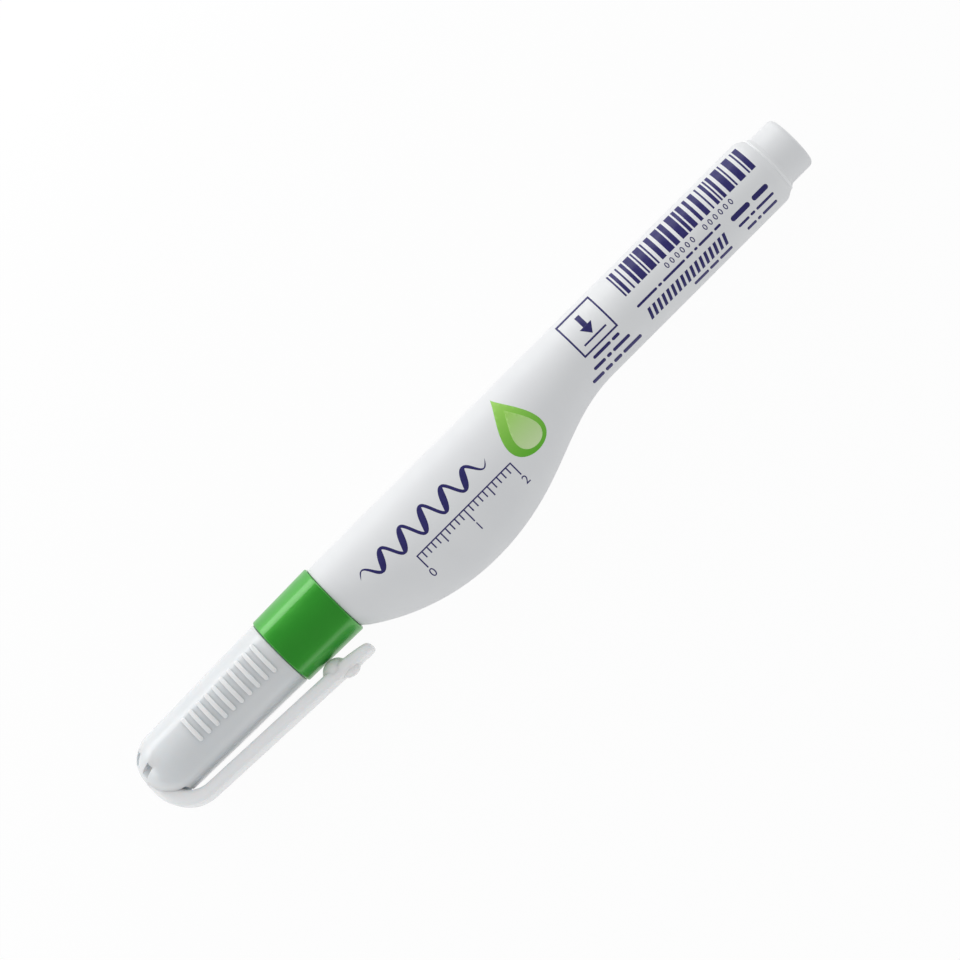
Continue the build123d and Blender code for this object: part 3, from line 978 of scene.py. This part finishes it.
def green_ink(name, low_colour, high_colour, low_across, high_across):
    finish, tree, shader, place = new_finish(name)
    sides = add(tree, "SeparateXYZ")
    tree.links.new(place, sides.inputs["Vector"])
    low_y = on_pen(0, low_across)[1]
    high_y = on_pen(0, high_across)[1]
    height = stretch(tree, sides.outputs["Y"], low_y, high_y, 0, 1)
    tree.links.new(tint_between(tree, height, low_colour, high_colour), shader.inputs["Base Color"])
    ink_gloss(tree, shader, place)
    return finish


indigo = indigo_ink()
leaf_green = green_ink("leaf_green_ink", (0.13, 0.50, 0.03), (0.35, 0.66, 0.12), -6, 5)
pale_green = green_ink("pale_green_ink", (0.62, 0.80, 0.42), (0.30, 0.62, 0.09), -5, 2)
print("inks ready")

# %% [markdown]
# ## Wave
# A long wave runs along the belly as a plain ornament. A flat nib makes such a stroke thick on the
# slopes and thin at the turns. A strip of cells is bent into the wave: each point moves by the wave's
# height, and its distance from the middle line follows the width of the stroke there.

# %% Wave
def draw_wave(bm, start, length, across, height, waves, thin, thick):
    steps_per_wave = 40
    steps = steps_per_wave * waves
    end_height = 0.55
    fade_rate = 10
    x, y = on_pen(start + length / 2, across)
    strip = bmesh.ops.create_grid(
        bm, x_segments=steps, y_segments=1, size=0.5, matrix=Matrix.Diagonal((length * MM, 1, 1, 1))
    )
    turn = 2 * pi * waves
    for vert in strip["verts"]:
        share = vert.co.x / (length * MM) + 0.5
        angle = turn * share
        swell = end_height + (1 - end_height) * sin(pi * share)
        slope = height / 2 * swell * turn * cos(angle) / length
        run = hypot(1, slope)
        taper = min(1, fade_rate * share, fade_rate * (1 - share))
        width = (thin + (thick - thin) * max(0, cos(angle))) * taper * vert.co.y
        vert.co.y = (height / 2 * swell * sin(angle) + width / run) * MM
        vert.co.x -= width * slope / run * MM
    bmesh.ops.translate(bm, verts=strip["verts"], vec=(x, y, 0))


bm = bmesh.new()
draw_wave(bm, start=45.5, length=26.5, across=-1.05, height=3.5, waves=6, thin=0.5, thick=1.1)
lay_on_barrel(bm)
finish_piece("print_wave", bm, indigo, "pen")

# %% [markdown]
# ## Scale
# Under the wave runs a short rule of two centimetres, as stationery often carries. Ticks are plain bars
# whose length depends on whether the number is a whole, half or tenth centimetre. The figures are text
# that is turned into a mesh first, so that it can be cut and laid on the barrel like every other sign.

# %% Scale
def draw_figure(bm, text, along, across, height):
    """A figure centred on a place, from Blender's own font."""
    curve = bpy.data.curves.new("figure", "FONT")
    curve.body = text
    curve.size = height * MM
    curve.align_x = "CENTER"
    curve.align_y = "CENTER"
    curve.fill_mode = "FRONT"
    lettering = bpy.data.objects.new("figure", curve)
    flat = bpy.data.meshes.new_from_object(lettering)
    known = len(bm.verts)
    bm.from_mesh(flat)
    bm.verts.ensure_lookup_table()
    bmesh.ops.translate(bm, verts=bm.verts[known:], vec=(*on_pen(along, across), 0))
    bpy.data.objects.remove(lettering)
    bpy.data.curves.remove(curve)
    bpy.data.meshes.remove(flat)


def draw_scale(bm, start, across, line):
    length = 20
    whole_tick = 2.3
    half_tick = 1.7
    tenth_tick = 1.1
    figure_drop = 3.5
    figure_height = 2.0
    draw_bar(bm, start + length / 2, across, length + line, line)
    for number in range(length + 1):
        reach = whole_tick if number % 10 == 0 else half_tick if number % 5 == 0 else tenth_tick
        draw_bar(bm, start + number, across - (reach + line) / 2, line, reach)
        if number % 10 == 0:
            draw_figure(bm, str(number // 10), start + number, across - figure_drop, figure_height)


bm = bmesh.new()
draw_scale(bm, start=54.2, across=-4.4, line=0.22)
lay_on_barrel(bm)
finish_piece("print_scale", bm, indigo, "pen", smooth=False)

# %% [markdown]
# ## Rows of dashes
# Lines of small print are shown as rows of round-ended dashes, the way a layout sketch shows them. Each
# row is a list of word lengths with an even gap.

# %% Rows of dashes
def draw_row(bm, start, across, height, words, gap):
    """Dashes of the given lengths in mm, from a start and with an even gap."""
    along = start
    for length in words:
        draw_dash(bm, along + length / 2, across, length, height)
        along += length + gap


# start, height over the axis, thickness, lengths of the dashes and gap, all in mm
dash_rows = (
    (94.5, -2.1, 0.5, (3.6, 1.5), 0.4),
    (93.4, -3.4, 0.5, (2.4, 0.9, 3.5), 0.4),
    (91.9, -4.7, 0.5, (2.4, 1.4, 1.6, 3.8), 0.4),
    (104.7, -1.3, 0.4, (4.2, 0.7, 4.6, 1.4, 0.6, 3.0, 1.3), 0.35),
    (113.6, -5.0, 0.4, (3.0, 1.8, 2.6), 0.35),
    (124.2, -2.1, 0.85, (3.8, 3.2), 0.7),
    (124.4, -3.6, 0.4, (2.2, 0.9, 3.6), 0.35),
    (125.2, -4.8, 0.4, (1.9, 0.7, 3.0), 0.35),
)
bm = bmesh.new()
for row in dash_rows:
    draw_row(bm, *row)
lay_on_barrel(bm)
finish_piece("print_small_rows", bm, indigo, "pen")

# %% [markdown]
# ## Drop
# A drop of fluid in green is the barrel's one spot of colour. A disc becomes a drop when its width
# follows the sine of the angle times a power of the sine of half the angle, which draws the top in to a
# point. A paler and smaller drop on it is the gleam.

# %% Drop
def draw_drop(bm, along, across, width, height):
    fullness = 0.65
    point_power = 1.5
    x, y = on_pen(along, across)
    disc = bmesh.ops.create_circle(bm, cap_ends=True, segments=72, radius=1)
    for number, vert in enumerate(disc["verts"]):
        angle = 2 * pi * number / len(disc["verts"])
        vert.co.x = fullness * width * MM * sin(angle) * sin(angle / 2) ** point_power
        vert.co.y = height / 2 * MM * cos(angle)
    bmesh.ops.translate(bm, verts=disc["verts"], vec=(x, y, 0))


bm = bmesh.new()
draw_drop(bm, along=78.8, across=-0.7, width=7.6, height=10.6)
lay_on_barrel(bm)
finish_piece("print_drop", bm, leaf_green, "pen")

bm = bmesh.new()
draw_drop(bm, along=79.2, across=-1.6, width=5.0, height=7.4)
lay_on_barrel(bm, layer=1)
finish_piece("print_gleam", bm, pale_green, "pen")

# %% [markdown]
# ## Press sign
# A square frame holds a plain arrow that points down at a line: press the point on the paper.

# %% Press sign
def draw_frame(bm, along, across, width, height, line):
    for side in (-1, 1):
        draw_bar(bm, along, across + side * (height - line) / 2, width, line)
        draw_bar(bm, along + side * (width - line) / 2, across, line, height - 2 * line)


def draw_arrow(bm, along, tip, shaft_width, shaft_length, head_width, head_length):
    """An arrow that points to -Y and ends at the height of its tip."""
    draw_bar(bm, along, tip + head_length + shaft_length / 2, shaft_width, shaft_length)
    head = draw_bar(bm, along, tip + head_length / 2, head_width, head_length)
    middle = on_pen(along, 0)[0]
    for vert in sorted(head, key=lambda corner: corner.co.y)[:2]:
        vert.co.x = middle
    bmesh.ops.remove_doubles(bm, verts=head, dist=0.001 * MM)


bm = bmesh.new()
sign_along = 97.15
sign_line = 0.3
draw_frame(bm, sign_along, across=2.05, width=7.1, height=6.5, line=sign_line)
draw_arrow(bm, sign_along, tip=0.75, shaft_width=0.9, shaft_length=1.9, head_width=2.4, head_length=1.6)
draw_bar(bm, sign_along, across=0.2, length=4.6, height=sign_line)
lay_on_barrel(bm)
finish_piece("print_sign", bm, indigo, "pen")

# %% [markdown]
# ## Bars
# The tail carries a panel of upright bars of mixed widths, a row of small rings under it and a band of
# slanted strokes. Widths come from a counting rule, in whole modules, so the pattern means nothing.

# %% Bars
def draw_bars(bm, start, across, height, module, modules):
    place = 0
    number = 0
    while place < modules:
        wide = min(1 + (number * number + 3 * (number // 4)) % 4, modules - place)
        gap = 1 + (number * (number + 1) // 2 + number // 5) % 2
        draw_bar(bm, start + (place + wide / 2) * module, across, wide * module, height)
        place += wide + gap
        number += 1
    return number


def draw_ring(bm, along, across, width, height, line):
    x, y = on_pen(along, across)
    edges = []
    for shrink in (0, 2 * line):
        size = Matrix.Diagonal(((width - shrink) * MM, (height - shrink) * MM, 1, 1))
        loop = bmesh.ops.create_circle(
            bm, segments=20, radius=0.5, matrix=Matrix.Translation((x, y, 0)) @ size
        )
        edges += list({edge for vert in loop["verts"] for edge in vert.link_edges})
    bmesh.ops.bridge_loops(bm, edges=edges)


def draw_slants(bm, start, across, count, pitch, height, line, lean):
    middle = on_pen(0, across)[1]
    for number in range(count):
        stroke = draw_bar(bm, start + number * pitch, across, line, height)
        for vert in stroke:
            vert.co.x += lean * (vert.co.y - middle)


bm = bmesh.new()
bar_count = draw_bars(bm, start=104.6, across=3.18, height=4.2, module=0.295, modules=95)
lay_on_barrel(bm)
finish_piece("print_bars", bm, indigo, "pen", smooth=False)

ring_pitch = 1.1
rings_in_group = 6
group_starts = (112.4, 120.6)
bm = bmesh.new()
for first in group_starts:
    for number in range(rings_in_group):
        draw_ring(bm, first + ring_pitch * number, across=0.05, width=0.62, height=1.0, line=0.16)
lay_on_barrel(bm)
finish_piece("print_rings", bm, indigo, "pen")

bm = bmesh.new()
draw_slants(bm, start=105.6, across=-3.4, count=17, pitch=1.0, height=1.7, line=0.55, lean=0.35)
lay_on_barrel(bm)
finish_piece("print_slants", bm, indigo, "pen", smooth=False)
print(bar_count, "bars")
